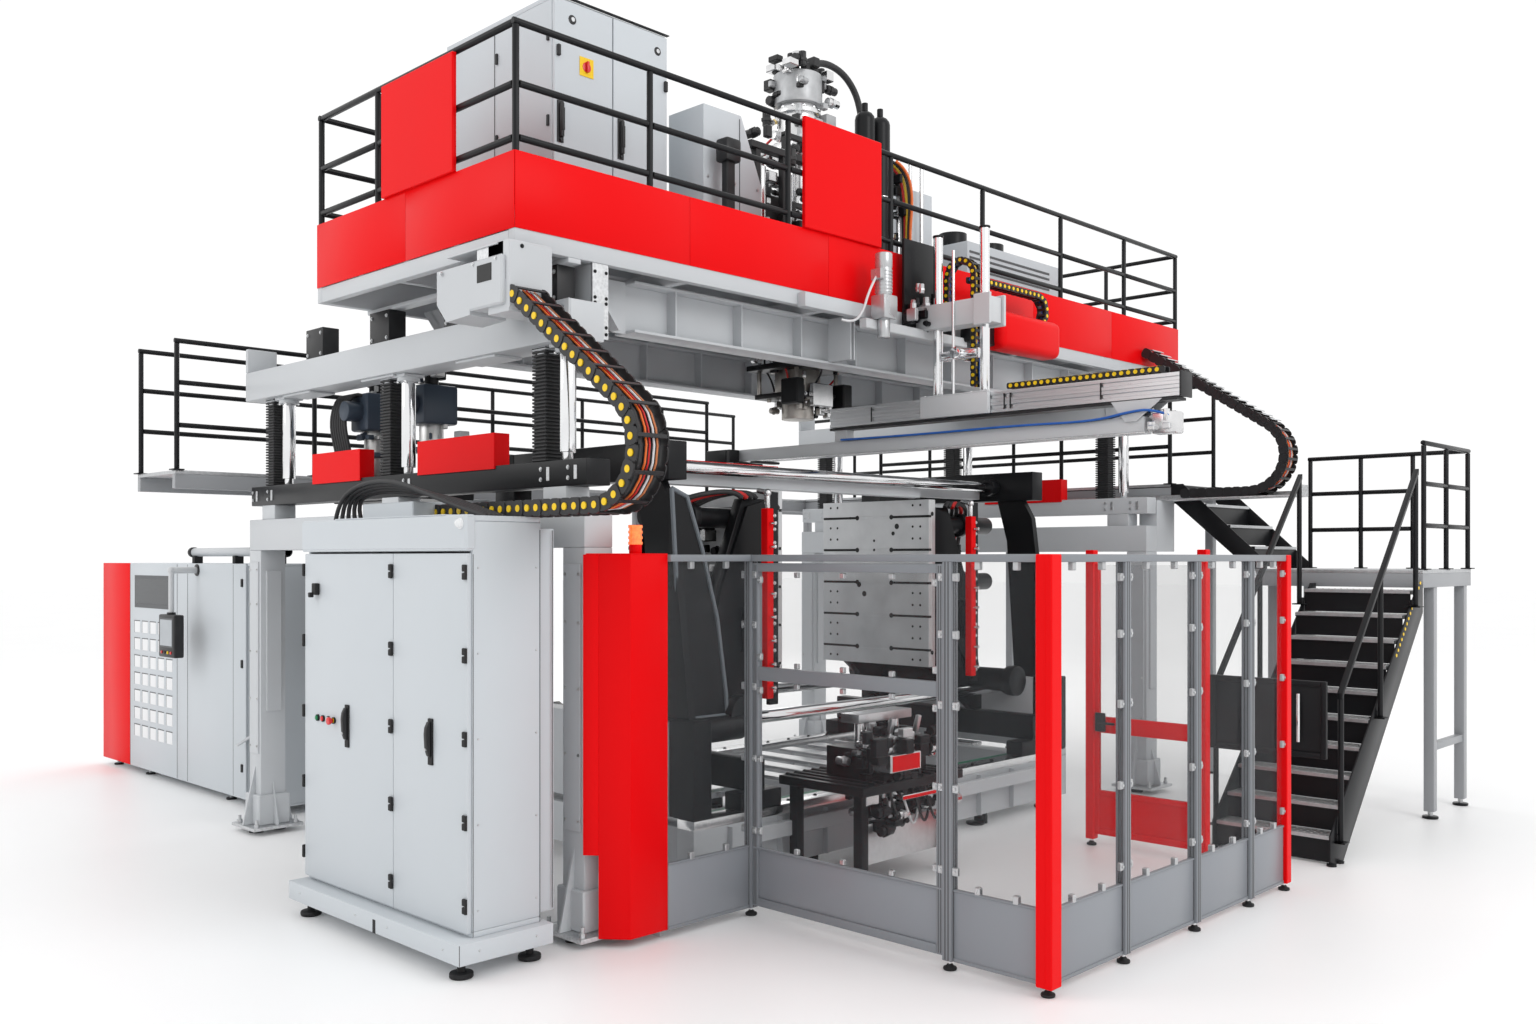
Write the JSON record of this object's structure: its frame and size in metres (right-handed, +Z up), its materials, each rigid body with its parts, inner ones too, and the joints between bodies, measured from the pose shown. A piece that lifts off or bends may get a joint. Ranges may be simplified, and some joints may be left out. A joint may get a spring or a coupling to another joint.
{
  "type": "blow moulding machine",
  "caption": "Platform-type extrusion blow moulding line with lifting platform, horizontal clamp, transfer robot, guards, stairs and control cabinet.",
  "frame": {"origin": "on the floor, under the middle of the whole line", "axes": "+X runs along the raised platform from the control cabinet end to the stairs end; +Y runs away from the guarded front; +Z is up"},
  "size_m": [8.86, 11, 6.2835],
  "materials": {
    "access_gate": "satin",
    "anchor_plates": "ground",
    "cabinet_devices": "matte",
    "cabinet_door_left": "fine texture",
    "cabinet_door_right": "fine texture",
    "cabinet_housing": "fine texture",
    "chain_lower_runs": "matte",
    "chain_trays": "ground",
    "chain_upper_runs": "matte",
    "clamp_arms_left": "satin",
    "clamp_arms_right": "satin",
    "column_covers": "satin",
    "die_head": "ground",
    "die_tooling": "ground",
    "door_handle_left": "matte",
    "door_handle_right": "matte",
    "drive_motor": "satin",
    "emergency_stop": "gloss",
    "extruder_barrel": "ground",
    "extruder_housing": "fine texture",
    "extruder_screw": "ground",
    "fence_door": "satin",
    "fence_frame": "satin",
    "fence_panes": "clear",
    "gripper_jaw_left": "satin",
    "gripper_jaw_right": "satin",
    "guide_posts": "polished",
    "handling_unit": "fine texture",
    "hose_arch": "matte",
    "hydraulic_units": "fine texture",
    "lift_base_beams": "satin",
    "lift_beams": "satin",
    "lift_bellows": "matte",
    "lift_tubes": "polished",
    "machine_base": "satin",
    "main_switch": "gloss",
    "platen_left": "ground",
    "platen_right": "ground",
    "platform_deck": "ground",
    "platform_fascia": "satin",
    "platform_frame": "satin",
    "platform_railing": "satin",
    "portal_frame": "satin",
    "reset_button": "gloss",
    "robot_arm": "anodised",
    "robot_carriage": "satin",
    "robot_column": "polished",
    "screen_arm": "satin",
    "screen_panel": "matte",
    "signal_lamps": "gloss",
    "stair_gate": "satin",
    "stair_railings": "satin",
    "stairs": "satin",
    "start_button": "gloss",
    "stop_button": "gloss",
    "takeout_line": "anodised",
    "tie_bars": "polished",
    "traverse_guides": "satin",
    "upper_cabinet": "fine texture",
    "upper_door": "fine texture"
  },
  "bodies": {
    "line_frame": {"portal_frame": "portal_frame", "anchor_plates": "anchor_plates", "lift_base_beams": "lift_base_beams", "guide_posts": "guide_posts", "machine_base": "machine_base", "tie_bars": "tie_bars", "takeout_line": "takeout_line", "handling_unit": "handling_unit", "screen_arm": "screen_arm", "cabinet_housing": "cabinet_housing", "cabinet_devices": "cabinet_devices", "signal_lamps": "signal_lamps", "fence_frame": "fence_frame", "fence_panes": "fence_panes", "column_covers": "column_covers", "stairs": "stairs", "stair_railings": "stair_railings", "chain_trays": "chain_trays", "chain_lower_runs": "chain_lower_runs"},
    "lift": {"lift_beams": "lift_beams", "lift_tubes": "lift_tubes", "lift_bellows": "lift_bellows", "traverse_guides": "traverse_guides"},
    "platform": {"platform_frame": "platform_frame", "platform_deck": "platform_deck", "platform_fascia": "platform_fascia", "platform_railing": "platform_railing", "upper_cabinet": "upper_cabinet", "extruder_housing": "extruder_housing", "extruder_barrel": "extruder_barrel", "drive_motor": "drive_motor", "die_head": "die_head", "die_tooling": "die_tooling", "hydraulic_units": "hydraulic_units", "hose_arch": "hose_arch", "chain_upper_runs": "chain_upper_runs"},
    "screw": {"extruder_screw": "extruder_screw"},
    "power_switch": {"main_switch": "main_switch"},
    "upper_cabinet_door": {"upper_door": "upper_door"},
    "transfer_carriage": {"robot_carriage": "robot_carriage"},
    "transfer_column": {"robot_column": "robot_column"},
    "transfer_arm": {"robot_arm": "robot_arm"},
    "left_jaw": {"gripper_jaw_left": "gripper_jaw_left"},
    "right_jaw": {"gripper_jaw_right": "gripper_jaw_right"},
    "left_clamp": {"platen_left": "platen_left", "clamp_arms_left": "clamp_arms_left"},
    "right_clamp": {"platen_right": "platen_right", "clamp_arms_right": "clamp_arms_right"},
    "left_door": {"cabinet_door_left": "cabinet_door_left"},
    "right_door": {"cabinet_door_right": "cabinet_door_right"},
    "left_handle": {"door_handle_left": "door_handle_left"},
    "right_handle": {"door_handle_right": "door_handle_right"},
    "start": {"start_button": "start_button"},
    "stop": {"stop_button": "stop_button"},
    "reset": {"reset_button": "reset_button"},
    "emergency": {"emergency_stop": "emergency_stop"},
    "screen": {"screen_panel": "screen_panel"},
    "guard_door": {"fence_door": "fence_door"},
    "red_gate": {"access_gate": "access_gate"},
    "stair_foot_gate": {"stair_gate": "stair_gate"}
  },
  "joints": [
    {"name": "platform_lift", "type": "slide", "parent": "line_frame", "child": "lift", "axis": [0, 0, 1], "range_m": [0, 0.4], "deforming": ["lift_bellows", "chain_lower_runs"]},
    {"name": "platform_traverse", "type": "slide", "parent": "lift", "child": "platform", "axis": [0, 1, 0], "range_m": [0, 1.4], "deforming": ["chain_upper_runs"]},
    {"name": "screw_turn", "type": "hinge", "parent": "platform", "child": "screw", "pos_m": [-2.7, -0.88, 4.79], "axis": [1, 0, 0], "continuous": true},
    {"name": "switch_turn", "type": "hinge", "parent": "platform", "child": "power_switch", "pos_m": [-2.94, -2.37, 5.25], "axis": [0, 1, 0], "range_deg": [0, 90]},
    {"name": "upper_door_swing", "type": "hinge", "parent": "platform", "child": "upper_cabinet_door", "pos_m": [-2.266, -2.3783, 4.9], "axis": [0, 0, 1], "range_deg": [0, 100]},
    {"name": "transfer_travel", "type": "slide", "parent": "platform", "child": "transfer_carriage", "axis": [1, 0, 0], "range_m": [-0.5, 0.5]},
    {"name": "transfer_height", "type": "slide", "parent": "transfer_carriage", "child": "transfer_column", "axis": [0, 0, 1], "range_m": [-0.08, 0.1]},
    {"name": "arm_reach", "type": "slide", "parent": "transfer_column", "child": "transfer_arm", "axis": [0, 1, 0], "range_m": [-0.9, 0]},
    {"name": "left_jaw_grip", "type": "slide", "parent": "transfer_arm", "child": "left_jaw", "axis": [1, 0, 0], "range_m": [0, 0.05]},
    {"name": "right_jaw_grip", "type": "slide", "parent": "transfer_arm", "child": "right_jaw", "axis": [-1, 0, 0], "range_m": [0, 0.05]},
    {"name": "left_clamp_close", "type": "slide", "parent": "line_frame", "child": "left_clamp", "axis": [1, 0, 0], "range_m": [0, 0.5]},
    {"name": "right_clamp_close", "type": "slide", "parent": "line_frame", "child": "right_clamp", "axis": [-1, 0, 0], "range_m": [0, 0.5]},
    {"name": "left_door_swing", "type": "hinge", "parent": "line_frame", "child": "left_door", "pos_m": [-4.337, -2.452, 1.2015], "axis": [0, 0, 1], "range_deg": [0, 110]},
    {"name": "right_door_swing", "type": "hinge", "parent": "line_frame", "child": "right_door", "pos_m": [-4.337, -3.192, 1.2015], "axis": [0, 0, 1], "range_deg": [0, 110]},
    {"name": "left_handle_lift", "type": "hinge", "parent": "left_door", "child": "left_handle", "pos_m": [-4.3403, -1.943, 1.286], "axis": [0, 1, 0], "range_deg": [0, 60]},
    {"name": "right_handle_lift", "type": "hinge", "parent": "right_door", "child": "right_handle", "pos_m": [-4.3403, -2.85, 1.286], "axis": [0, 1, 0], "range_deg": [0, 60]},
    {"name": "start_press", "type": "slide", "parent": "left_door", "child": "start", "axis": [1, 0, 0], "range_m": [0, 0.004], "stiffness_N_per_m": 1500, "springref_m": -0.004},
    {"name": "stop_press", "type": "slide", "parent": "left_door", "child": "stop", "axis": [1, 0, 0], "range_m": [0, 0.004], "stiffness_N_per_m": 1500, "springref_m": -0.004},
    {"name": "reset_press", "type": "slide", "parent": "left_door", "child": "reset", "axis": [1, 0, 0], "range_m": [0, 0.004], "stiffness_N_per_m": 1500, "springref_m": -0.004},
    {"name": "emergency_press", "type": "slide", "parent": "left_door", "child": "emergency", "axis": [1, 0, 0], "range_m": [0, 0.008]},
    {"name": "screen_turn", "type": "hinge", "parent": "line_frame", "child": "screen", "pos_m": [-3.42, 3.08, 1.66], "axis": [0, 0, 1], "range_deg": [-60, 60]},
    {"name": "guard_door_swing", "type": "hinge", "parent": "line_frame", "child": "guard_door", "pos_m": [-2.51, -4.83, 1.1], "axis": [0, 0, 1], "range_deg": [0, 100]},
    {"name": "red_gate_swing", "type": "hinge", "parent": "line_frame", "child": "red_gate", "pos_m": [0.61, -4.73, 1.1], "axis": [0, 0, 1], "range_deg": [0, 100]},
    {"name": "stair_gate_swing", "type": "hinge", "parent": "line_frame", "child": "stair_foot_gate", "pos_m": [1.12, -4.564, 0.7], "axis": [0, 0, -1], "range_deg": [0, 55]}
  ],
  "couplings": [
    {"joint": "right_clamp_close", "follows": "left_clamp_close", "ratio": 1},
    {"joint": "right_jaw_grip", "follows": "left_jaw_grip", "ratio": 1}
  ]
}
